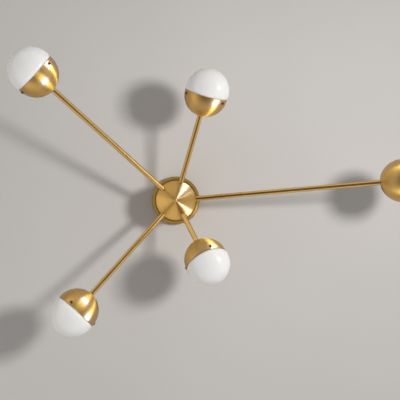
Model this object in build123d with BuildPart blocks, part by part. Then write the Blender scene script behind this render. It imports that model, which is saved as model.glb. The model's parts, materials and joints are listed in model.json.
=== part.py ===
from build123d import *
from math import acos, cos, degrees, radians, sin, sqrt
import os

# Five-arm sputnik ceiling light, in millimetres. The ceiling is the plane Z = 0 and the
# light hangs below it. X points to the right and Y to the foot of the view from below.
# Each arm's own axis starts on the hub's axis at arm_root_drop below the ceiling.

# Canopy pan against the ceiling
pan_radius = 62.5
pan_depth = 22.0
pan_wall = 1.2
pan_shoulder = 12.0

# Crossbar inside the pan: slots for a round outlet box, a bent tab at each end
bar_width = 20.0
bar_thickness = 2.0
bar_bend_radius = 1.0
bar_wire_hole_radius = 6.5
box_screw_spacing = 88.9
box_slot_length = 12.0
box_slot_width = 5.0
tab_depth = 10.0
tab_gap = 0.4
side_screw_radius = 2.0
side_screw_drop = 6.0
side_screw_length = 6.0
side_screw_socket_radius = 1.1
side_screw_socket_depth = 2.5

# Ground screw and terminal block under the crossbar
ground_screw_offset = 24.0
ground_screw_radius = 2.0
ground_head_radius = 4.2
ground_head_height = 2.4
terminal_offset = 23.0
terminal_length = 24.0
terminal_width = 15.0
terminal_height = 11.0
terminal_poles = 3
terminal_pole_pitch = 7.5
terminal_wire_hole_radius = 1.6
terminal_screw_hole_radius = 1.4
terminal_edge = 1.0

# Hollow threaded nipple through the pan, with a nut on each side of the pan's floor
nipple_radius = 5.0
nipple_bore_radius = 3.5
nipple_above_nut = 3.0
nipple_nut_flats = 17.0
nipple_nut_height = 5.0

# Turned block that takes the arms, inside the hub
arm_root_drop = 80.0
block_radius = 26.0
block_above_root = 12.0
block_below_root = 24.0
block_edge = 2.0
nipple_engagement = 10.0
wire_chamber_radius = 4.5
wire_chamber_below_root = 7.0
socket_start = 14.0
fit_gap = 0.1

# Spun hub: a straight skirt that closes in a cone, with a finial at its tip
hub_radius = 48.5
hub_wall = 1.2
cone_start_drop = 97.0
cone_rise = 35.2
cone_tip_radius = 4.5
hub_shoulder = 3.0
arm_hole_gap = 0.4
finial_radius = 4.3
finial_neck_radius = 3.2
finial_neck_height = 1.6
finial_ball_radius = 4.1
finial_stud_radius = 2.5
finial_stud_grip = 8.0

# Arms: bearing seen from below, drop below the horizontal, reach from the hub's axis to
# the globe's centre, and the turn of the first cup screw away from the side facing down
arm_bearings = {"1": 63.0, "2": -74.0, "3": 132.0, "4": -138.0, "5": -5.0}
arm_drops = {"1": 31.5, "2": 18.5, "3": 18.0, "4": 22.5, "5": 10.0}
reach_1 = 190.0
reach_2 = 278.0
reach_3 = 365.0
reach_4 = 452.0
reach_5 = 545.0
arm_reaches = {"1": reach_1, "2": reach_2, "3": reach_3, "4": reach_4, "5": reach_5}
first_screw_turns = {"1": -27.0, "2": 57.0, "3": 25.0, "4": 45.0, "5": 60.0}
tube_radius = 6.0
tube_bore_radius = 3.0
tube_thread_radius = 4.0
tube_thread_length = 8.5

# Cup: a spun hemisphere with a short straight band up to its rim
cup_radius = 50.1
cup_wall = 1.5
cup_band = 2.5
cup_nut_flats = 12.0
cup_nut_height = 4.5

# Globe: a ball whose shoulder curls in to a straight fitter neck inside the cup
globe_proud_of_cup = 0.9
globe_radius = cup_radius + globe_proud_of_cup
globe_wall = 2.5
globe_centre_out = 8.0
shoulder_radius = 12.0
fitter_neck_radius = 40.0
neck_end_inside = 16.0

# Three screws through each cup's band press on the fitter neck
cup_screw_count = 3
cup_screw_radius = 1.5
cup_screw_inset = 6.5
cup_screw_hole_gap = 0.25
cup_screw_head_radius = 3.2
cup_screw_head_height = 2.2
cup_screw_head_edge = 0.7
cup_screw_tip_radius = 1.0

# Lamp holder on the end of the tube, and the two-pin capsule lamp in it
holder_radius = 9.0
holder_length = 24.0
holder_foot_radius = 11.0
holder_foot_height = 3.0
holder_bore_radius = 2.0
holder_bore_depth = 10.0
holder_edge = 0.8
lamp_base_radius = 8.2
lamp_base_height = 8.0
lamp_capsule_radius = 7.5
lamp_length = 47.0
pin_radius = 0.7
pin_length = 7.0
pin_pitch = 9.0
pin_hole_radius = 1.1
pin_hole_depth = 12.5

# Clearance between pieces that come apart
running_gap = 0.3


def turned_half(frame):
    """The half-plane of a turned piece: X is its radius, Y runs along the frame's Z."""
    return Plane(frame.origin, x_dir=frame.x_dir, z_dir=frame.x_dir.cross(frame.z_dir))


def turning_axis(frame):
    return Axis(frame.origin, frame.z_dir)


def hexagon_corner(across_flats):
    return across_flats / sqrt(3)


def save(piece, name):
    """Label a finished piece and write it as its own file."""
    piece.part.label = name
    export_step(piece.part, f"parts/{name}.step")


class Arm:
    """Where one arm's axis, its cup and its globe lie. Frames have Z along the arm."""

    def __init__(self, number):
        bearing = radians(arm_bearings[number])
        drop = radians(arm_drops[number])
        self.number = number
        self.root = Vector(0, 0, -arm_root_drop)
        self.along = Vector(cos(bearing) * cos(drop), sin(bearing) * cos(drop), -sin(drop))
        self.facing_down = Vector(-cos(bearing) * sin(drop), -sin(bearing) * sin(drop), -cos(drop))
        self.rim_distance = arm_reaches[number] - globe_centre_out
        self.rim = self.frame(self.rim_distance)

    def frame(self, distance):
        """A plane square to the arm at this distance from the hub's axis."""
        return Plane(self.root + self.along * distance, x_dir=self.facing_down, z_dir=self.along)

    def screw_frame(self, index, radius):
        """A plane on one cup screw's axis, with Z pointing out of the cup."""
        turn = radians(first_screw_turns[self.number] - index * 360 / cup_screw_count)
        outward = self.rim.x_dir * cos(turn) + self.rim.y_dir * sin(turn)
        origin = self.rim.origin - self.along * cup_screw_inset + outward * radius
        return Plane(origin, x_dir=self.along, z_dir=outward)


# Sizes that follow from the ones above
pan_floor = -pan_depth + pan_wall
block_top = -arm_root_drop + block_above_root
block_bottom = -arm_root_drop - block_below_root
nipple_top = pan_floor + nipple_nut_height + nipple_above_nut
nipple_bottom = block_top - nipple_engagement
cone_tip_height = -cone_start_drop - cone_rise
cup_inner_radius = cup_radius - cup_wall
cup_centre = -cup_band
tube_shoulder = cup_centre - sqrt(cup_radius**2 - (tube_thread_radius + fit_gap) ** 2)
tube_end = tube_shoulder + tube_thread_length
cup_nut_seat = cup_centre - sqrt(cup_inner_radius**2 - hexagon_corner(cup_nut_flats) ** 2)
holder_face = tube_end + holder_length
lamp_seat = holder_face + running_gap
screw_head_seat = sqrt(cup_radius**2 - (cup_screw_inset - cup_band) ** 2) + running_gap
screw_tip = fitter_neck_radius + running_gap


# ---- Crossbar, its screws and the terminal block ----

def make_mounting_bracket():
    tab_outside = sqrt((pan_radius - pan_wall) ** 2 - (bar_width / 2) ** 2) - tab_gap
    with BuildPart() as bracket:
        with BuildSketch(Plane.XY.offset(-bar_thickness)):
            Rectangle(2 * tab_outside, bar_width)
            Circle(bar_wire_hole_radius, mode=Mode.SUBTRACT)
            with GridLocations(box_screw_spacing, 0, 2, 1):
                SlotOverall(box_slot_length, box_slot_width, mode=Mode.SUBTRACT)
            with Locations((-ground_screw_offset, 0)):
                Circle(ground_screw_radius + fit_gap, mode=Mode.SUBTRACT)
        extrude(amount=bar_thickness)
        with BuildSketch(Plane.XY.offset(-tab_depth)):
            with GridLocations(2 * tab_outside - bar_thickness, 0, 2, 1):
                Rectangle(bar_thickness, bar_width)
        extrude(amount=tab_depth)
        with BuildSketch(Plane.YZ.offset(-pan_radius)):
            with Locations((0, -side_screw_drop)):
                Circle(side_screw_radius + fit_gap)
        extrude(amount=2 * pan_radius, mode=Mode.SUBTRACT)
        across = bracket.edges().filter_by(Axis.Y)
        fillet(across.group_by(Axis.Z)[-2], radius=bar_bend_radius)
        across = bracket.edges().filter_by(Axis.Y)
        fillet(across.group_by(Axis.Z)[-1], radius=bar_bend_radius + bar_thickness)
    save(bracket, "mounting_bracket")


def make_ground_screw():
    with BuildPart() as screw:
        with BuildSketch(Plane((-ground_screw_offset, 0, -bar_thickness))):
            Circle(ground_head_radius)
        extrude(amount=-ground_head_height)
        fillet(screw.edges().sort_by(Axis.Z)[0], radius=ground_head_height / 2)
        with BuildSketch(Plane((-ground_screw_offset, 0, -bar_thickness))):
            Circle(ground_screw_radius)
        extrude(amount=bar_thickness - fit_gap)
    save(screw, "ground_screw")


def make_terminal_block():
    centre = Vector(terminal_offset, 0, -bar_thickness - terminal_height / 2)
    with BuildPart() as block:
        with BuildSketch(Plane((terminal_offset, 0, -bar_thickness))):
            Rectangle(terminal_length, terminal_width)
        extrude(amount=-terminal_height)
        fillet(block.edges().group_by(Axis.Z)[0], radius=terminal_edge)
        with Locations(Plane(centre, x_dir=(1, 0, 0), z_dir=(0, 1, 0))):
            with GridLocations(terminal_pole_pitch, 0, terminal_poles, 1):
                Hole(radius=terminal_wire_hole_radius)
        with Locations(Plane((terminal_offset, 0, -bar_thickness - terminal_height), z_dir=(0, 0, -1))):
            with GridLocations(terminal_pole_pitch, 0, terminal_poles, 1):
                Hole(radius=terminal_screw_hole_radius, depth=terminal_height / 2)
    save(block, "terminal_block")


def make_side_screws():
    """Two headless screws through the pan's side into the crossbar's tabs."""
    with BuildPart() as screws:
        for side in (-1, 1):
            face = Plane((side * pan_radius, 0, -side_screw_drop), x_dir=(0, 1, 0), z_dir=(side, 0, 0))
            with BuildSketch(face):
                Circle(side_screw_radius)
            extrude(amount=-side_screw_length)
            with BuildSketch(face):
                RegularPolygon(side_screw_socket_radius, 6)
            extrude(amount=-side_screw_socket_depth, mode=Mode.SUBTRACT)
    save(screws, "canopy_side_screws")


# ---- Canopy pan, nipple and nuts ----

def make_canopy_pan():
    with BuildPart() as pan:
        with BuildSketch():
            Circle(pan_radius)
        extrude(amount=-pan_depth)
        fillet(pan.edges().sort_by(Axis.Z)[0], radius=pan_shoulder)
        offset(amount=-pan_wall, openings=pan.faces().sort_by(Axis.Z)[-1])
        with BuildSketch(Plane.XY.offset(-pan_depth)):
            Circle(nipple_radius + fit_gap)
        extrude(amount=2 * pan_wall, mode=Mode.SUBTRACT)
        with BuildSketch(Plane.YZ.offset(-pan_radius)):
            with Locations((0, -side_screw_drop)):
                Circle(side_screw_radius + fit_gap)
        extrude(amount=2 * pan_radius, mode=Mode.SUBTRACT)
    save(pan, "canopy_pan")


def make_centre_nipple():
    with BuildPart() as nipple:
        with BuildSketch(Plane.XY.offset(nipple_bottom)):
            Circle(nipple_radius)
            Circle(nipple_bore_radius, mode=Mode.SUBTRACT)
        extrude(amount=nipple_top - nipple_bottom)
    save(nipple, "centre_nipple")


def make_nipple_nut(name, bottom):
    with BuildPart() as nut:
        with BuildSketch(Plane.XY.offset(bottom)):
            RegularPolygon(hexagon_corner(nipple_nut_flats), 6)
            Circle(nipple_radius + fit_gap, mode=Mode.SUBTRACT)
        extrude(amount=nipple_nut_height)
    save(nut, name)


# ---- Hub ----

def make_hub_block(arms):
    """The turned block: a tilted socket for each arm, and a wire way from all of them up the nipple."""
    with BuildPart() as block:
        with BuildSketch(Plane.XY.offset(block_bottom)):
            Circle(block_radius)
        extrude(amount=block_top - block_bottom)
        chamfer(block.edges().filter_by(GeomType.CIRCLE), length=block_edge)
        with BuildSketch(Plane.XY.offset(nipple_bottom)):
            Circle(nipple_radius + fit_gap)
        extrude(amount=nipple_engagement, mode=Mode.SUBTRACT)
        with BuildSketch(Plane.XY.offset(-arm_root_drop - wire_chamber_below_root)):
            Circle(wire_chamber_radius)
        extrude(amount=nipple_bottom + arm_root_drop + wire_chamber_below_root, mode=Mode.SUBTRACT)
        for arm in arms:
            with BuildSketch(arm.frame(0)):
                Circle(tube_bore_radius)
            extrude(amount=socket_start, mode=Mode.SUBTRACT)
            with BuildSketch(arm.frame(socket_start)):
                Circle(tube_radius + fit_gap)
            extrude(amount=2 * block_radius, mode=Mode.SUBTRACT)
        with BuildSketch(Plane.XY.offset(block_bottom)):
            Circle(finial_stud_radius + fit_gap)
        extrude(amount=finial_stud_grip, mode=Mode.SUBTRACT)
    save(block, "hub_block")


def make_hub_cone(arms):
    """The spun hub. The arms leave it through holes across its shoulder."""
    with BuildPart() as cone:
        with BuildSketch(Plane.XZ):
            with BuildLine():
                FilletPolyline(
                    (hub_radius, -pan_depth),
                    (hub_radius, -cone_start_drop),
                    (cone_tip_radius, cone_tip_height),
                    radius=hub_shoulder,
                )
                Line((cone_tip_radius, cone_tip_height), (finial_stud_radius + fit_gap, cone_tip_height))
                offset(amount=hub_wall, side=Side.RIGHT)
            make_face()
        revolve(axis=Axis.Z)
        for arm in arms:
            with BuildSketch(arm.frame(block_radius)):
                Circle(tube_radius + arm_hole_gap)
            extrude(amount=hub_radius, mode=Mode.SUBTRACT)
    save(cone, "hub_cone")


def make_finial():
    """Turned finial: a short neck and a ball below the cone, a stud up into the block."""
    neck_end = cone_tip_height - finial_neck_height
    ball_centre = neck_end - sqrt(finial_ball_radius**2 - finial_neck_radius**2)
    stud_end = block_bottom + finial_stud_grip - fit_gap
    with BuildPart() as finial:
        with BuildSketch(Plane.XZ):
            with BuildLine():
                Polyline(
                    (0, ball_centre - finial_ball_radius),
                    (0, stud_end),
                    (finial_stud_radius, stud_end),
                    (finial_stud_radius, cone_tip_height),
                    (finial_radius, cone_tip_height),
                    (finial_radius, cone_tip_height - finial_neck_height / 2),
                    (finial_neck_radius, neck_end),
                )
                start = degrees(acos(finial_neck_radius / finial_ball_radius))
                CenterArc((0, ball_centre), finial_ball_radius, start, -90 - start)
            make_face()
        revolve(axis=Axis.Z)
    save(finial, "finial")


# ---- One arm and what it carries ----

def make_arm_tube(arm):
    """Seats in the hub block. A turned-down thread at the far end passes through the cup."""
    root_end = socket_start - arm.rim_distance
    with BuildPart() as tube:
        with BuildSketch(turned_half(arm.rim)):
            with BuildLine():
                Polyline(
                    (tube_bore_radius, root_end),
                    (tube_radius, root_end),
                    (tube_radius, tube_shoulder),
                    (tube_thread_radius, tube_shoulder),
                    (tube_thread_radius, tube_end),
                    (tube_bore_radius, tube_end),
                    close=True,
                )
            make_face()
        revolve(axis=turning_axis(arm.rim))
    save(tube, f"arm_tube_{arm.number}")


def make_cup(arm):
    with BuildPart() as cup:
        with BuildSketch(turned_half(arm.rim)):
            with BuildLine():
                CenterArc((0, cup_centre), cup_radius, -90, 90)
                Polyline(
                    (cup_radius, cup_centre),
                    (cup_radius, 0),
                    (cup_inner_radius, 0),
                    (cup_inner_radius, cup_centre),
                )
                CenterArc((0, cup_centre), cup_inner_radius, 0, -90)
                Line((0, cup_centre - cup_inner_radius), (0, cup_centre - cup_radius))
            make_face()
        revolve(axis=turning_axis(arm.rim))
        with BuildSketch(arm.frame(arm.rim_distance + tube_shoulder - cup_wall)):
            Circle(tube_thread_radius + fit_gap)
        extrude(amount=3 * cup_wall, mode=Mode.SUBTRACT)
        for index in range(cup_screw_count):
            with BuildSketch(arm.screw_frame(index, fitter_neck_radius)):
                Circle(cup_screw_radius + cup_screw_hole_gap)
            extrude(amount=cup_radius, mode=Mode.SUBTRACT)
    save(cup, f"cup_{arm.number}")


def make_cup_nut(arm):
    with BuildPart() as nut:
        with BuildSketch(arm.frame(arm.rim_distance + cup_nut_seat)):
            RegularPolygon(hexagon_corner(cup_nut_flats), 6)
            Circle(tube_thread_radius + fit_gap, mode=Mode.SUBTRACT)
        extrude(amount=cup_nut_height)
    save(nut, f"cup_nut_{arm.number}")


def make_globe(arm):
    """Blown opal shell: a ball, a tight shoulder that curls in, and a straight fitter neck."""
    curl_centre = (globe_radius - shoulder_radius, globe_centre_out)
    with BuildPart() as globe:
        with BuildSketch(turned_half(arm.rim)):
            with BuildLine():
                ends = []
                for inward in (0, globe_wall):
                    neck = fitter_neck_radius - inward
                    curl = shoulder_radius - inward
                    turn = degrees(acos((neck - curl_centre[0]) / curl))
                    CenterArc((0, globe_centre_out), globe_radius - inward, 90, -90)
                    CenterArc(curl_centre, curl, 0, -turn)
                    neck_top = globe_centre_out - curl * sin(radians(turn))
                    Line((neck, neck_top), (neck, -neck_end_inside))
                    ends.append((neck, -neck_end_inside))
                Line(ends[0], ends[1])
                pole = globe_centre_out + globe_radius
                Line((0, pole), (0, pole - globe_wall))
            make_face()
        revolve(axis=turning_axis(arm.rim))
    save(globe, f"globe_{arm.number}")


def make_cup_screw(arm, index):
    """Round-headed screw: its head is a running gap off the cup, its tip the same off the neck."""
    axis_frame = arm.screw_frame(index, 0)
    head_top = screw_head_seat + cup_screw_head_height
    with BuildPart() as screw:
        with BuildSketch(turned_half(axis_frame)):
            with BuildLine():
                Polyline(
                    (0, screw_tip),
                    (cup_screw_tip_radius, screw_tip),
                    (cup_screw_radius, screw_tip + cup_screw_radius - cup_screw_tip_radius),
                    (cup_screw_radius, screw_head_seat),
                    (cup_screw_head_radius, screw_head_seat),
                    (cup_screw_head_radius, head_top),
                    (0, head_top),
                    close=True,
                )
            make_face()
        revolve(axis=turning_axis(axis_frame))
        rims = screw.edges().filter_by(GeomType.CIRCLE)
        fillet(rims.sort_by(turning_axis(axis_frame))[-1], radius=cup_screw_head_edge)
    save(screw, f"cup_screw_{arm.number}{'abc'[index]}")


def make_lamp_holder(arm):
    """Ceramic two-pin holder that stands on the tube's end."""
    foot = arm.frame(arm.rim_distance + tube_end)
    face = arm.frame(arm.rim_distance + holder_face)
    with BuildPart() as holder:
        with BuildSketch(foot):
            Circle(holder_foot_radius)
        extrude(amount=holder_foot_height)
        with BuildSketch(foot):
            Circle(holder_radius)
        extrude(amount=holder_length)
        upper_edges = holder.edges().filter_by(GeomType.CIRCLE).sort_by(turning_axis(foot))[1:]
        chamfer(upper_edges.filter_by(lambda edge: edge.radius >= holder_radius), length=holder_edge)
        with BuildSketch(foot):
            Circle(holder_bore_radius)
        extrude(amount=holder_bore_depth, mode=Mode.SUBTRACT)
        with BuildSketch(face):
            with GridLocations(pin_pitch, 0, 2, 1):
                Circle(pin_hole_radius)
        extrude(amount=-pin_hole_depth, mode=Mode.SUBTRACT)
    save(holder, f"lamp_holder_{arm.number}")


def make_lamp(arm):
    """Capsule lamp: a round base with two pins and a domed capsule."""
    seat = arm.frame(arm.rim_distance + lamp_seat)
    base_top = lamp_seat + lamp_base_height
    dome_centre = lamp_seat + lamp_length - lamp_capsule_radius
    with BuildPart() as lamp:
        with BuildSketch(turned_half(arm.rim)):
            with BuildLine():
                Polyline(
                    (0, dome_centre + lamp_capsule_radius),
                    (0, lamp_seat),
                    (lamp_base_radius, lamp_seat),
                    (lamp_base_radius, base_top),
                    (lamp_capsule_radius, base_top),
                    (lamp_capsule_radius, dome_centre),
                )
                CenterArc((0, dome_centre), lamp_capsule_radius, 0, 90)
            make_face()
        revolve(axis=turning_axis(arm.rim))
        with BuildSketch(seat):
            with GridLocations(pin_pitch, 0, 2, 1):
                Circle(pin_radius)
        extrude(amount=-pin_length)
    save(lamp, f"lamp_{arm.number}")


# ---- The whole light ----

os.makedirs("parts", exist_ok=True)
all_arms = [Arm(number) for number in arm_bearings]

make_mounting_bracket()
make_ground_screw()
make_terminal_block()
make_side_screws()
make_canopy_pan()
make_centre_nipple()
make_nipple_nut("nipple_nut_upper", pan_floor)
make_nipple_nut("nipple_nut_lower", -pan_depth - nipple_nut_height)
make_hub_block(all_arms)
make_hub_cone(all_arms)
make_finial()

for arm in all_arms:
    make_arm_tube(arm)
    make_cup(arm)
    make_cup_nut(arm)
    make_lamp_holder(arm)
    make_lamp(arm)
    make_globe(arm)
    for index in range(cup_screw_count):
        make_cup_screw(arm, index)
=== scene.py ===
import json
import math
from collections import namedtuple

import bmesh
import bpy
from mathutils import Matrix, Vector

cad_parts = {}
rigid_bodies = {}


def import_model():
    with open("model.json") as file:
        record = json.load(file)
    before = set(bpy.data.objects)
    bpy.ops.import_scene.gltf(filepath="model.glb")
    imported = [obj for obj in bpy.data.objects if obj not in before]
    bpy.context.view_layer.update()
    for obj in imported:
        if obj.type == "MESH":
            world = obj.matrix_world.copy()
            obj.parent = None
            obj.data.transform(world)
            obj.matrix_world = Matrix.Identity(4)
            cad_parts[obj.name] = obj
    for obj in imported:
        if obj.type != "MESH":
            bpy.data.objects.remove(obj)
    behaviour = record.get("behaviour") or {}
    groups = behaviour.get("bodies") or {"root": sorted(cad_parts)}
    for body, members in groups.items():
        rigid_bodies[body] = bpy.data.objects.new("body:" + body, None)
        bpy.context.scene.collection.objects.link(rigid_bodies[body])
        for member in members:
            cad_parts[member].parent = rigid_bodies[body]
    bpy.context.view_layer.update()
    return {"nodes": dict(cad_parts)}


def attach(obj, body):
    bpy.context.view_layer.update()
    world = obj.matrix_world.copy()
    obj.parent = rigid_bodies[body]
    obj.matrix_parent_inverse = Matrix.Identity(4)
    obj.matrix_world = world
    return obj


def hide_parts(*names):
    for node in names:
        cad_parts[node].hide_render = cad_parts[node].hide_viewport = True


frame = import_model()
nodes = frame["nodes"]

# ------------------------------------------------ sizes in millimetres and degrees, as the CAD has them
MM = 0.001
Arm = namedtuple("Arm", "bearing drop reach first_screw_turn")
ARMS = {
    "1": Arm(63.0, 31.5, 190.0, -27.0),
    "2": Arm(-74.0, 18.5, 278.0, 57.0),
    "3": Arm(132.0, 18.0, 365.0, 25.0),
    "4": Arm(-138.0, 22.5, 452.0, 45.0),
    "5": Arm(-5.0, 10.0, 545.0, 60.0),
}
ARM_ROOT_DROP = 80.0
GLOBE_CENTRE_OUT = 8.0
FITTER_NECK_RADIUS = 40.0
CUP_RADIUS, CUP_BAND = 50.1, 2.5
RUNNING_GAP, FIT_GAP = 0.3, 0.1
TUBE_THREAD_RADIUS, TUBE_THREAD_LENGTH = 4.0, 8.5
HOLDER_LENGTH = 24.0

CUP_SCREWS = "abc"
CUP_SCREW_SPACING = 120.0
CUP_SCREW_INSET = 6.5
SCREW_RADIUS, SCREW_HEAD_RADIUS = 1.5, 3.2
SCREW_SEAT = math.sqrt(CUP_RADIUS ** 2 - (CUP_SCREW_INSET - CUP_BAND) ** 2) + RUNNING_GAP
SCREW_TIP = FITTER_NECK_RADIUS + RUNNING_GAP

TUBE_HOLE_RADIUS = TUBE_THREAD_RADIUS + FIT_GAP
TUBE_END = -CUP_BAND - math.sqrt(CUP_RADIUS ** 2 - TUBE_HOLE_RADIUS ** 2) + TUBE_THREAD_LENGTH
LAMP_SEAT = TUBE_END + HOLDER_LENGTH + RUNNING_GAP
LAMP_BASE_HEIGHT, LAMP_CAPSULE_RADIUS, LAMP_LENGTH = 8.0, 7.5, 47.0
PIN_RADIUS, PIN_LENGTH, PIN_PITCH = 0.7, 7.0, 9.0

# ------------------------------------------------ detail that only the scene has, in millimetres
LIP_CENTRE, LIP_RADIUS = (49.45, -0.5), 0.85
HEAD_FOOT, HEAD_CHAMFER, HEAD_EDGE, HEAD_DOME = 3.0, 0.18, 0.62, 1.55
HEAD_DOME_TURNS = (0, 12, 24, 36, 48, 58, 65)
MILLING_DEPTH, MILLING_TOP = 0.16, 0.7
SOCKET_MOUTH, SOCKET_RADIUS, SOCKET_HALF_FLATS = 1.22, 1.15, 0.98
SOCKET_LEAD, SOCKET_SHOULDER, SOCKET_DEPTH, SOCKET_POINT = 0.05, 0.25, 1.35, 1.6
THREAD_ROOT, THREAD_PITCH, THREAD_RUNOUT = 1.22, 0.5, 0.9
TIP_FLAT, TIP_CHAMFER = 0.9, 0.4
SCREW_SEGMENTS = 48
RIB_STARTS = (1.2, 3.2, 5.2)
RIB_PROFILE = [(8.1, 0.0), (8.2, 0.3), (8.2, 0.9), (8.1, 1.2), (7.7, 1.45), (7.7, 1.75)]

# ------------------------------------------------ node trees
NOISE_LOW, NOISE_HIGH = 0.3, 0.7  # Blender's noise seldom leaves these


def tree_of(owner):
    owner.use_nodes = True
    tree = owner.node_tree
    tree.nodes.clear()
    return tree


def new_material(name):
    material = bpy.data.materials.new(name)
    return material, tree_of(material)


def add(tree, kind, inputs=None, **settings):
    """A node of that kind. An input is either a value or another node's output socket."""
    node = tree.nodes.new("ShaderNode" + kind)
    for name, value in settings.items():
        setattr(node, name, value)
    for name, value in (inputs or {}).items():
        socket = node.inputs[name]
        if isinstance(value, bpy.types.NodeSocket):
            tree.links.new(value, socket)
        else:
            socket.default_value = value
    return node


def math_node(tree, operation, first, second=0.0, third=0.0):
    return add(tree, "Math", {0: first, 1: second, 2: third}, operation=operation).outputs[0]


def vector_node(tree, operation, first, second=(0, 0, 0)):
    node = add(tree, "VectorMath", {0: first, 1: second}, operation=operation)
    return node.outputs["Value" if operation in ("DOT_PRODUCT", "LENGTH") else "Vector"]


def ramp(tree, factor, stops):
    """A colour ramp with (place, colour) stops."""
    node = add(tree, "ValToRGB", {"Fac": factor})
    elements = node.color_ramp.elements
    while len(elements) < len(stops):
        elements.new(0.5)
    for element, (place, colour) in zip(elements, stops):
        element.position = place
        element.color = (*colour, 1.0)
    return node.outputs["Color"]


def spread(tree, value, low, high):
    """A noise value moved to the range from low to high."""
    return add(tree, "MapRange", {
        "Value": value, "From Min": NOISE_LOW, "From Max": NOISE_HIGH, "To Min": low, "To Max": high,
    }).outputs["Result"]


def object_place(tree):
    return add(tree, "TexCoord").outputs["Object"]


def noise(tree, place, scale, detail, roughness=0.5):
    return add(tree, "TexNoise", {
        "Vector": place, "Scale": scale, "Detail": detail, "Roughness": roughness,
    }).outputs["Fac"]


def bump(tree, height, strength, distance):
    return add(tree, "Bump", {
        "Height": height, "Strength": strength, "Distance": distance,
    }).outputs["Normal"]


def finish_material(tree, shader_inputs):
    shader = add(tree, "BsdfPrincipled", shader_inputs)
    add(tree, "OutputMaterial", {"Surface": shader.outputs["BSDF"]})


# ------------------------------------------------ materials
BRASS_BRIGHT = (0.92, 0.555, 0.095)
BRASS_DEEP = (0.82, 0.475, 0.065)
EDGE_TINT = (0.58, 0.42, 0.26, 1.0)
PAINTED_SHADE_SPAN = 50.0  # the radius in millimetres that ends the ramp of painted shade


def turned_brass(name, centre, axis, anisotropy=0.95, roughness=0.42, line_scale=900.0, seed=0.0,
                 coat=1.0, coat_roughness=0.28, coat_ior=1.75, edge=EDGE_TINT,
                 bright=BRASS_BRIGHT, deep=BRASS_DEEP, painted_shade=None):
    """Spun or turned brass under clear lacquer, with fine rings round the axis.

    Highlights stretch along the axis. The painted shade list holds (radius in millimetres, level):
    the colour is multiplied by that level at that distance from the axis, painting shade into it.
    """
    material, tree = new_material(name)
    place = object_place(tree)
    centre, axis = Vector(centre), Vector(axis).normalized()
    first = axis.orthogonal().normalized()
    second = axis.cross(first)
    offset = vector_node(tree, "SUBTRACT", place, centre)
    along = vector_node(tree, "DOT_PRODUCT", offset, axis)
    across_1 = vector_node(tree, "DOT_PRODUCT", offset, first)
    across_2 = vector_node(tree, "DOT_PRODUCT", offset, second)
    flat = add(tree, "CombineXYZ", {0: across_1, 1: across_2, 2: 0.0}).outputs[0]
    radius = vector_node(tree, "LENGTH", flat)
    turn = add(tree, "SeparateXYZ", {0: vector_node(tree, "NORMALIZE", flat)})

    def rings(scale, wander, detail):
        vector = add(tree, "CombineXYZ", {
            0: math_node(tree, "MULTIPLY", along, scale),
            1: math_node(tree, "MULTIPLY", radius, scale),
            2: math_node(tree, "MULTIPLY", turn.outputs[0], wander),
        }).outputs[0]
        return add(tree, "TexNoise", {
            "Vector": vector,
            "W": math_node(tree, "MULTIPLY_ADD", turn.outputs[1], wander, seed),
            "Scale": 1.0,
            "Detail": detail,
            "Roughness": 0.6,
        }, noise_dimensions="4D").outputs["Fac"]

    fine = rings(line_scale, 1.5, 2.0)
    broad = rings(line_scale * 0.12, 0.8, 3.0)
    patina = noise(tree, place, 22.0, 4.0, 0.55)
    tone = math_node(tree, "MULTIPLY_ADD", broad, 0.45, math_node(tree, "MULTIPLY", patina, 0.55))
    colour = ramp(tree, tone, [(0.30, deep), (0.70, bright)])
    # painted shade: the colour is darkened or lightened by distance from the axis, standing in for how the
    # surface reflects light
    if painted_shade:
        reach = math_node(tree, "MULTIPLY", radius, 1.0 / (PAINTED_SHADE_SPAN * MM))
        painted_shade_levels = ramp(tree, reach, [(distance / PAINTED_SHADE_SPAN, grey(level)) for distance, level in painted_shade])
        colour = add(tree, "MixRGB", {"Fac": 1.0, "Color1": colour, "Color2": painted_shade_levels},
                     blend_type="MULTIPLY").outputs["Color"]
    rough = math_node(tree, "ADD", spread(tree, fine, -0.035, 0.035),
                      spread(tree, patina, roughness - 0.03, roughness + 0.03))
    normal = bump(tree, fine, 0.06, 0.0002)
    tangent = add(tree, "CombineXYZ", {0: axis.x, 1: axis.y, 2: axis.z}).outputs[0]
    finish_material(tree, {
        "Base Color": colour,
        "Metallic": 1.0,
        "Roughness": rough,
        "Normal": normal,
        "Anisotropic": anisotropy,
        "Tangent": tangent,
        "Specular Tint": edge,
        "Coat Weight": coat,
        "Coat Roughness": coat_roughness,
        "Coat IOR": coat_ior,
    })
    return material


def opal_glass(name):
    """Opal white blown glass: a soft body colour under a satin skin."""
    material, tree = new_material(name)
    place = object_place(tree)
    cloud = noise(tree, place, 14.0, 3.0)
    colour = ramp(tree, cloud, [(0.30, (0.78, 0.775, 0.765)), (0.70, (0.82, 0.817, 0.81))])
    ripple = noise(tree, place, 45.0, 2.0)
    normal = bump(tree, ripple, 0.05, 0.0006)
    finish_material(tree, {
        "Base Color": colour,
        "Roughness": spread(tree, ripple, 0.20, 0.26),
        "Normal": normal,
        "Subsurface Weight": 0.5,
        "Subsurface Radius": (1.0, 0.97, 0.93),
        "Subsurface Scale": 0.0015,
        "IOR": 1.5,
    })
    return material


def plain_metal(name, light, dark, roughness, scale=160.0):
    """Plated or machined metal with a fine mottled grain."""
    material, tree = new_material(name)
    place = object_place(tree)
    grain = noise(tree, place, scale, 5.0, 0.6)
    spangle = add(tree, "TexVoronoi", {"Vector": place, "Scale": scale}).outputs["Distance"]
    tone = math_node(tree, "MULTIPLY_ADD", spangle, 0.4, math_node(tree, "MULTIPLY", grain, 0.7))
    normal = bump(tree, grain, 0.12, 0.0002)
    finish_material(tree, {
        "Base Color": ramp(tree, tone, [(0.25, dark), (0.75, light)]),
        "Metallic": 1.0,
        "Roughness": spread(tree, grain, roughness - 0.06, roughness + 0.06),
        "Normal": normal,
    })
    return material


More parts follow.
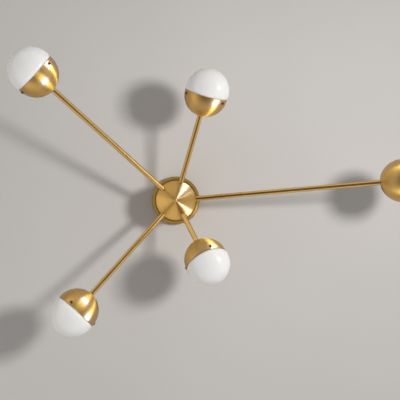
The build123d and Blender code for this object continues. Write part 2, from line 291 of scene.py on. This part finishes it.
def plain_body(name, light, dark, roughness, scale=90.0, coat=0.0):
    """Moulded plastic, glaze or frosted glass with slight mottling."""
    material, tree = new_material(name)
    grain = noise(tree, object_place(tree), scale, 4.0, 0.55)
    normal = bump(tree, grain, 0.08, 0.0003)
    finish_material(tree, {
        "Base Color": ramp(tree, grain, [(0.3, dark), (0.7, light)]),
        "Roughness": spread(tree, grain, roughness - 0.05, roughness + 0.05),
        "Normal": normal,
        "Coat Weight": coat,
        "Coat Roughness": 0.08,
    })
    return material


def grey(level):
    return (level, level, level)


# ------------------------------------------------ meshes


def arc(centre, radius, start, end, steps):
    """Points of an arc in the (radius, height) plane, angles in degrees from the radius axis."""
    angles = [math.radians(start + (end - start) * i / steps) for i in range(steps + 1)]
    return [(centre[0] + radius * math.cos(a), centre[1] + radius * math.sin(a)) for a in angles]


def turn_into(mesh_data, profile, place, segments=96, closed=False, teeth=None):
    """Turns a (radius, height) profile in millimetres round the place's own Z axis.

    Teeth gives how far a point of the profile is cut in at each step of the turn.
    """
    rings = []
    for radius, height in profile:
        if radius < 1e-6:
            rings.append([mesh_data.verts.new(place @ Vector((0, 0, height * MM)))])
            continue
        ring = []
        for i in range(segments):
            a = 2 * math.pi * i / segments
            r = radius - (teeth(i, radius, height) if teeth else 0.0)
            point = Vector((r * math.cos(a), r * math.sin(a), height)) * MM
            ring.append(mesh_data.verts.new(place @ point))
        rings.append(ring)
    pairs = list(zip(rings, rings[1:]))
    if closed:
        pairs.append((rings[-1], rings[0]))
    for low, high in pairs:
        for i in range(segments):
            j = (i + 1) % segments
            corners = [low[i % len(low)], low[j % len(low)], high[j % len(high)], high[i % len(high)]]
            mesh_data.faces.new(dict.fromkeys(corners))


def finished_mesh(name, mesh_data, sharp=28.0):
    """Ends a bmesh as a smooth mesh whose edges over that many degrees stay crisp."""
    bmesh.ops.recalc_face_normals(mesh_data, faces=mesh_data.faces)
    for face in mesh_data.faces:
        face.smooth = True
    limit = math.radians(sharp)
    for edge in mesh_data.edges:
        if len(edge.link_faces) == 2 and edge.calc_face_angle() > limit:
            edge.smooth = False
    mesh = bpy.data.meshes.new(name)
    mesh_data.to_mesh(mesh)
    mesh_data.free()
    return mesh


def piece(name, mesh, material, body, replaced):
    obj = bpy.data.objects.new(name, mesh)
    bpy.context.scene.collection.objects.link(obj)
    mesh.materials.append(material)
    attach(obj, body)
    if replaced:
        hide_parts(*replaced)
    return obj


def arm_frame(number, distance):
    """The arm's frame at a distance from its root: Z along the arm, X facing down."""
    bearing, drop = math.radians(ARMS[number].bearing), math.radians(ARMS[number].drop)
    along = Vector((math.cos(bearing) * math.cos(drop), math.sin(bearing) * math.cos(drop),
                    -math.sin(drop)))
    down = Vector((-math.cos(bearing) * math.sin(drop), -math.sin(bearing) * math.sin(drop),
                   -math.cos(drop)))
    matrix = Matrix((down, along.cross(down), along)).transposed().to_4x4()
    matrix.translation = Vector((0, 0, -ARM_ROOT_DROP * MM)) + along * distance * MM
    return matrix


def rim_frame(number, further_out=0.0):
    """The frame at the middle of the cup's rim, or further out along the arm."""
    return arm_frame(number, ARMS[number].reach - GLOBE_CENTRE_OUT + further_out)


def screw_frame(number, index):
    """The frame of one cup screw: Z points out of the cup, from the arm's axis."""
    rim = rim_frame(number)
    down, across, along = (rim.col[i].to_3d() for i in range(3))
    turn = math.radians(ARMS[number].first_screw_turn - index * CUP_SCREW_SPACING)
    outward = down * math.cos(turn) + across * math.sin(turn)
    matrix = Matrix((along, outward.cross(along), outward)).transposed().to_4x4()
    matrix.translation = rim.translation - along * CUP_SCREW_INSET * MM
    return matrix


def cup_lip(number):
    """The rolled edge that finishes the cup's rim."""
    mesh_data = bmesh.new()
    bead = arc(LIP_CENTRE, LIP_RADIUS, 0, 330, 11)
    turn_into(mesh_data, bead, rim_frame(number), segments=128, closed=True)
    return finished_mesh("cup_lip_" + number, mesh_data, 60.0)


def cup_screw(number, index):
    """Button-headed screw with a hexagon socket, a milled edge and a cut thread."""
    seat, tip = SCREW_SEAT, SCREW_TIP
    head = [(SCREW_HEAD_RADIUS * math.cos(a), seat + HEAD_EDGE + HEAD_DOME * math.sin(a))
            for a in map(math.radians, HEAD_DOME_TURNS)]
    top = head[-1][1]
    socket = [(SOCKET_MOUTH, top - SOCKET_LEAD), (SOCKET_RADIUS, top - SOCKET_SHOULDER),
              (SOCKET_RADIUS, top - SOCKET_DEPTH), (0.0, top - SOCKET_POINT)]
    thread = []
    height = seat - THREAD_PITCH / 2
    while height > tip + THREAD_RUNOUT:
        thread += [(SCREW_RADIUS, height), (THREAD_ROOT, height - THREAD_PITCH / 2)]
        height -= THREAD_PITCH
    point = [(0.0, tip), (TIP_FLAT, tip), (THREAD_ROOT, tip + TIP_CHAMFER)]
    foot = [(SCREW_RADIUS, seat), (HEAD_FOOT, seat), (SCREW_HEAD_RADIUS, seat + HEAD_CHAMFER)]

    def teeth(i, radius, height):
        if abs(radius - SCREW_HEAD_RADIUS) < 0.01 and height < seat + MILLING_TOP:
            return MILLING_DEPTH * (i % 2)
        if radius < SOCKET_MOUTH - 0.02 and height > seat:
            turn = math.radians((i * 360 / SCREW_SEGMENTS + 30) % 60 - 30)
            return radius - SOCKET_HALF_FLATS / math.cos(turn)
        return 0.0

    mesh_data = bmesh.new()
    turn_into(mesh_data, point + thread[::-1] + foot + head + socket, screw_frame(number, index),
              segments=SCREW_SEGMENTS, teeth=teeth)
    return finished_mesh(f"cup_screw_{number}{CUP_SCREWS[index]}_turned", mesh_data)


def lamp_meshes(number):
    """A capsule lamp in parts: its ribbed ceramic base, frosted capsule and two pins."""
    seat = rim_frame(number, LAMP_SEAT)
    base_data, capsule_data, pin_data = bmesh.new(), bmesh.new(), bmesh.new()
    base = [(0, 0), (6.9, 0), (7.6, 0.5)]
    for low in RIB_STARTS:
        base += [(radius, low + up) for radius, up in RIB_PROFILE]
    base += [(8.0, 7.5), (7.6, LAMP_BASE_HEIGHT), (0, LAMP_BASE_HEIGHT)]
    turn_into(base_data, base, seat, segments=72)
    capsule = [(0, 7.9), (7.1, 7.9), (7.1, 9.5), (LAMP_CAPSULE_RADIUS, 10.3)]
    capsule += arc((0, LAMP_LENGTH - LAMP_CAPSULE_RADIUS), LAMP_CAPSULE_RADIUS, 0, 78, 12)
    capsule += [(1.1, LAMP_LENGTH - 0.05), (0.7, LAMP_LENGTH), (0.0, LAMP_LENGTH)]
    turn_into(capsule_data, capsule, seat, segments=72)
    pin = [(0, -PIN_LENGTH), (0.4, -6.85), (0.66, -6.5), (PIN_RADIUS, -6.0), (PIN_RADIUS, -1.2),
           (1.05, -0.7), (1.1, 0.2), (0, 0.2)]
    for side in (-1, 1):
        pin_place = seat @ Matrix.Translation((side * PIN_PITCH / 2 * MM, 0, 0))
        turn_into(pin_data, pin, pin_place, segments=24)
    return (finished_mesh(f"lamp_{number}_base", base_data),
            finished_mesh(f"lamp_{number}_capsule", capsule_data),
            finished_mesh(f"lamp_{number}_pins", pin_data))


# ------------------------------------------------ the CAD nodes painted, the scene's own pieces made


def paint(node, material):
    for material_slot in nodes[node].material_slots:
        material_slot.material = material


zinc = plain_metal("zinc_plate", (0.62, 0.64, 0.66), (0.42, 0.44, 0.46), 0.34)
socket_brass = plain_metal("machined_brass", (0.78, 0.56, 0.24), (0.62, 0.43, 0.17), 0.32, 220.0)
green_dye = plain_metal("green_dyed_steel", (0.10, 0.42, 0.15), (0.05, 0.28, 0.09), 0.30)
terminal_white = plain_body("terminal_plastic", (0.80, 0.79, 0.75), (0.72, 0.71, 0.67), 0.48)
glaze = plain_body("white_glaze", (0.84, 0.82, 0.78), (0.76, 0.74, 0.70), 0.22, 60.0, 0.5)
frosted = plain_body("frosted_capsule", (0.86, 0.85, 0.81), (0.80, 0.79, 0.75), 0.45, 120.0)
opal = opal_glass("opal_glass")
# painted light and shade: the hub's brass is lighter than the cups', and its painted shade list darkens it
# near the tip and at the rim
hub_brass = turned_brass(
    "hub_brass", (0, 0, -0.1), (0, 0, 1), coat=0.65, bright=(1.0, 0.620, 0.125), deep=(0.95, 0.560, 0.100),
    painted_shade=[(0, 0.62), (8, 0.70), (18, 0.88), (30, 1.0), (42, 1.0), (48, 0.86)])
# painted shade: the pan's brass is much darker than the rest of the brass
pan_brass = turned_brass(
    "pan_brass", (0, 0, 0), (0, 0, 1), anisotropy=0.8, roughness=0.40, seed=9.0, coat=0.3,
    bright=(0.53, 0.325, 0.080), deep=(0.44, 0.265, 0.060))
finial_brass = turned_brass(
    "finial_brass", (0, 0, -0.13), (0, 0, 1), anisotropy=0.0, roughness=0.17, seed=5.0, coat=0.2,
    bright=(0.86, 0.54, 0.16), deep=(0.76, 0.46, 0.12))

for name, material in {
    "mounting_bracket": zinc, "centre_nipple": zinc, "nipple_nut_upper": zinc,
    "nipple_nut_lower": zinc, "ground_screw": green_dye, "terminal_block": terminal_white,
    "hub_block": socket_brass, "canopy_side_screws": pan_brass, "canopy_pan": pan_brass,
    "hub_cone": hub_brass, "finial": finial_brass,
}.items():
    paint(name, material)

for number in ARMS:
    rim = rim_frame(number)
    along = rim.col[2].to_3d()
    cup_brass = turned_brass(
        "cup_brass_" + number, rim.translation, along, seed=float(number) * 3.1, coat_ior=1.85,
        bright=(0.80, 0.455, 0.060), deep=(0.65, 0.360, 0.036))
    tube_brass = turned_brass(
        "tube_brass_" + number, rim.translation, along, anisotropy=0.3, roughness=0.21,
        seed=float(number) * 1.7, coat=0.3, edge=(0.40, 0.32, 0.22, 1.0),
        bright=(0.80, 0.510, 0.180), deep=(0.69, 0.425, 0.125))
    paint("arm_tube_" + number, tube_brass)
    paint("cup_" + number, cup_brass)
    paint("cup_nut_" + number, zinc)
    paint("lamp_holder_" + number, glaze)
    paint("globe_" + number, opal)
    piece("cup_lip_" + number, cup_lip(number), cup_brass, "fixture", ())
    for index, letter in enumerate(CUP_SCREWS):
        screw = f"cup_screw_{number}{letter}"
        outward = screw_frame(number, index).col[2].to_3d()
        # painted shade: the screw heads' brass is nearly black, so each head reads as a shaded spot
        screw_brass_painted_shade = turned_brass(
            screw + "_brass", rim.translation, outward, anisotropy=0.5, roughness=0.34,
            line_scale=1600.0, seed=float(number) + index, coat=0.2,
            bright=(0.26, 0.150, 0.050), deep=(0.16, 0.090, 0.030))
        piece(screw + "_turned", cup_screw(number, index), screw_brass_painted_shade, screw, (screw,))
    lamp = "lamp_" + number
    base, capsule, pins = lamp_meshes(number)
    for mesh, material, slot in ((base, glaze, "ceramic"), (capsule, frosted, "lamp_diffuser"),
                                 (pins, zinc, "zinc_steel")):
        piece(mesh.name, mesh, material, lamp, (lamp,))

# ------------------------------------------------ stage, light and camera, in metres
CEILING_HALF, CEILING_GAP = 4.0, 0.0004
KEY_AZIMUTH, KEY_ELEVATION, KEY_DISTANCE = -15.5, 51.9, 1.494
EVEN_CONSTANT, EVEN_LINEAR = 0.65, 0.35
WINDOW_DISTANCE = 2.4
WHITE, COOL, WARM = (1.0, 1.0, 1.0), (0.72, 0.91, 1.70), (1.0, 0.84, 0.56)
CAMERA_HEIGHT = 1.390


def ceiling():
    """Painted plaster that shows from below only, so views from above see the pieces."""
    half, gap = CEILING_HALF, CEILING_GAP
    mesh = bpy.data.meshes.new("ceiling")
    corners = [(-half, -half, gap), (-half, half, gap), (half, half, gap), (half, -half, gap)]
    mesh.from_pydata(corners, [], [(0, 1, 2, 3)])
    material, tree = new_material("ceiling_paint")
    place = object_place(tree)
    stipple = noise(tree, place, 420.0, 3.0)
    wash = noise(tree, place, 1.6, 2.0)
    paint_shader = add(tree, "BsdfPrincipled", {
        "Base Color": ramp(tree, wash, [(0.3, (0.555, 0.533, 0.510)), (0.7, (0.585, 0.565, 0.540))]),
        "Roughness": 0.85,
        "Specular IOR Level": 0.2,
        "Normal": bump(tree, stipple, 0.10, 0.0004),
    })
    clear = add(tree, "BsdfTransparent")
    behind = add(tree, "NewGeometry").outputs["Backfacing"]
    mix = add(tree, "MixShader", {0: behind, 1: paint_shader.outputs[0], 2: clear.outputs[0]})
    add(tree, "OutputMaterial", {"Surface": mix.outputs[0]})
    mesh.materials.append(material)
    obj = bpy.data.objects.new("ceiling", mesh)
    bpy.context.scene.collection.objects.link(obj)


def room():
    """A pale room below the light, darker straight underneath, where the camera stands."""
    world = bpy.data.worlds.new("room")
    bpy.context.scene.world = world
    tree = tree_of(world)
    direction = add(tree, "TexCoord").outputs["Generated"]
    height = add(tree, "SeparateXYZ", {0: direction}).outputs[2]
    level = add(tree, "MapRange", {
        "Value": height, "From Min": -1.0, "From Max": 0.0,
    }).outputs["Result"]
    lighting = ramp(tree, level, [
        (place, grey(amount)) for place, amount in ((0.0, 0.19), (0.25, 0.26), (0.6, 0.50), (1.0, 1.05))])
    seen = ramp(tree, level, [
        (place, (amount, amount * 0.965, amount * 0.88)) for place, amount in
        ((0.0, 0.05), (0.18, 0.10), (0.48, 0.80), (0.69, 0.92), (1.0, 0.80))])
    path = add(tree, "LightPath")
    shown = math_node(tree, "MAXIMUM", path.outputs["Is Camera Ray"], path.outputs["Is Glossy Ray"])
    shown = math_node(tree, "MAXIMUM", shown, path.outputs["Is Transmission Ray"])
    colour = add(tree, "MixRGB", {"Fac": shown, "Color1": lighting, "Color2": seen}).outputs["Color"]
    background = add(tree, "Background", {"Color": colour, "Strength": 1.0})
    add(tree, "OutputWorld", {"Surface": background.outputs[0]})


def toward(azimuth, elevation, distance):
    """A point below the ceiling: azimuth from +X towards the foot of the view, elevation down."""
    a, e = math.radians(azimuth), math.radians(elevation)
    return Vector((math.cos(a) * math.cos(e), math.sin(a) * math.cos(e), -math.sin(e))) * distance


def linked_set(name, starts, leave_out=None):
    """A collection of the pieces whose names start so, for lights that reach only these."""
    chosen = bpy.data.collections.new(name)
    for obj in bpy.context.scene.objects:
        if obj.name.startswith(starts) and not (leave_out and obj.name.startswith(leave_out)):
            chosen.objects.link(obj)
    return chosen


def area_light(name, azimuth, elevation, distance, size, power, colour=WHITE, diffuse=True,
               glossy=True, even=False, only=None):
    """A rectangle of light aimed at the origin, hidden from the camera.

    Even slows its fading with distance. Only names the one collection that it reaches.
    """
    data = bpy.data.lights.new(name, "AREA")
    data.shape = "RECTANGLE"
    data.size, data.size_y = size
    data.energy = power
    data.color = colour
    if even:
        tree = tree_of(data)
        falloff = add(tree, "LightFalloff", {"Strength": 1.0})
        level = math_node(tree, "MULTIPLY", falloff.outputs["Linear"], EVEN_LINEAR / distance)
        level = math_node(tree, "MULTIPLY_ADD", falloff.outputs["Constant"],
                          EVEN_CONSTANT / distance ** 2, level)
        emission = add(tree, "Emission", {"Strength": level})
        add(tree, "OutputLight", {"Surface": emission.outputs[0]})
    light = bpy.data.objects.new(name, data)
    bpy.context.scene.collection.objects.link(light)
    light.location = toward(azimuth, elevation, distance)
    light.rotation_mode = "QUATERNION"
    light.rotation_quaternion = light.location.to_track_quat("Z", "Y")
    light.visible_camera = False
    light.visible_diffuse = diffuse
    light.visible_glossy = glossy
    light.light_linking.receiver_collection = only
    return light


ceiling()
room()
area_light("key", KEY_AZIMUTH, KEY_ELEVATION, KEY_DISTANCE, (0.22, 0.22), 15.4, (1.0, 0.99, 0.98),
           glossy=False, even=True)
hub_set = linked_set("hub", ("hub_cone", "finial"))
cup_set = linked_set("cups", ("cup_",), leave_out="cup_screw")
for name, only, azimuth, elevation, size, power, colour in (
    ("hub_window_upper", hub_set, -56.0, 8.0, (0.80, 0.60), 22.0, COOL),
    ("hub_window_middle", hub_set, -28.0, 16.0, (0.10, 0.60), 2.5, COOL),
    ("hub_window_lower", hub_set, 43.0, 24.0, (0.75, 0.90), 26.0, COOL),
    ("hub_window_foot", hub_set, 98.0, 14.0, (1.8, 1.6), 4.0, WARM),
    ("hub_window_left", hub_set, 172.0, 14.0, (2.0, 1.6), 6.0, WARM),
    ("cup_window_upper", cup_set, -50.0, 10.0, (1.50, 0.80), 55.0, COOL),
    ("cup_window_lower", cup_set, 36.0, 22.0, (1.30, 1.00), 50.0, COOL),
):
    area_light(name, azimuth, elevation, WINDOW_DISTANCE, size, power, colour, diffuse=False, only=only)
area_light("fill_left", 130.0, 28.0, 2.5, (2.0, 1.0), 7.0, glossy=False)
globes = linked_set("globes", ("globe_",))
area_light("globe_glint", -18.0, 33.0, 1.8, (0.15, 0.15), 9.0, diffuse=False, only=globes)
area_light("globe_fill", 175.0, 45.0, 2.0, (1.2, 1.2), 5.0, (1.0, 0.93, 0.86), glossy=False, only=globes)
# the pan's inside, which only views from above show
inside = linked_set("inside", ("mounting_bracket", "ground_screw", "terminal_block", "canopy_",
                               "centre_nipple", "nipple_nut_upper"))
top_lamp = area_light("above_the_canopy", 0.0, -90.0, 1.0, (0.6, 0.6), 9.0, only=inside)
top_lamp.light_linking.blocker_collection = inside
area_light("pan_glow", 25.0, 24.0, WINDOW_DISTANCE, (1.2, 0.9), 9.0, diffuse=False,
           only=linked_set("pan", ("canopy_pan",)))
tubes = linked_set("tubes", ("arm_tube_",))
area_light("tube_glow", 0.0, 36.0, WINDOW_DISTANCE, (0.9, 0.9), 5.0, diffuse=False, only=tubes)
area_light("tube_floor", 0.0, 84.0, WINDOW_DISTANCE, (1.1, 1.1), 0.6, diffuse=False, only=tubes)

camera_data = bpy.data.cameras.new("camera")
camera_data.lens = 47.5
camera_data.sensor_width = 36.0
camera_data.shift_x = 0.0605
camera_data.shift_y = 0.001
camera = bpy.data.objects.new("camera", camera_data)
bpy.context.scene.collection.objects.link(camera)
camera.location = (0.0, 0.0, -CAMERA_HEIGHT)
camera.rotation_euler = (math.pi, 0.0, 0.0)
bpy.context.scene.camera = camera
bpy.context.scene.view_settings.view_transform = "Standard"
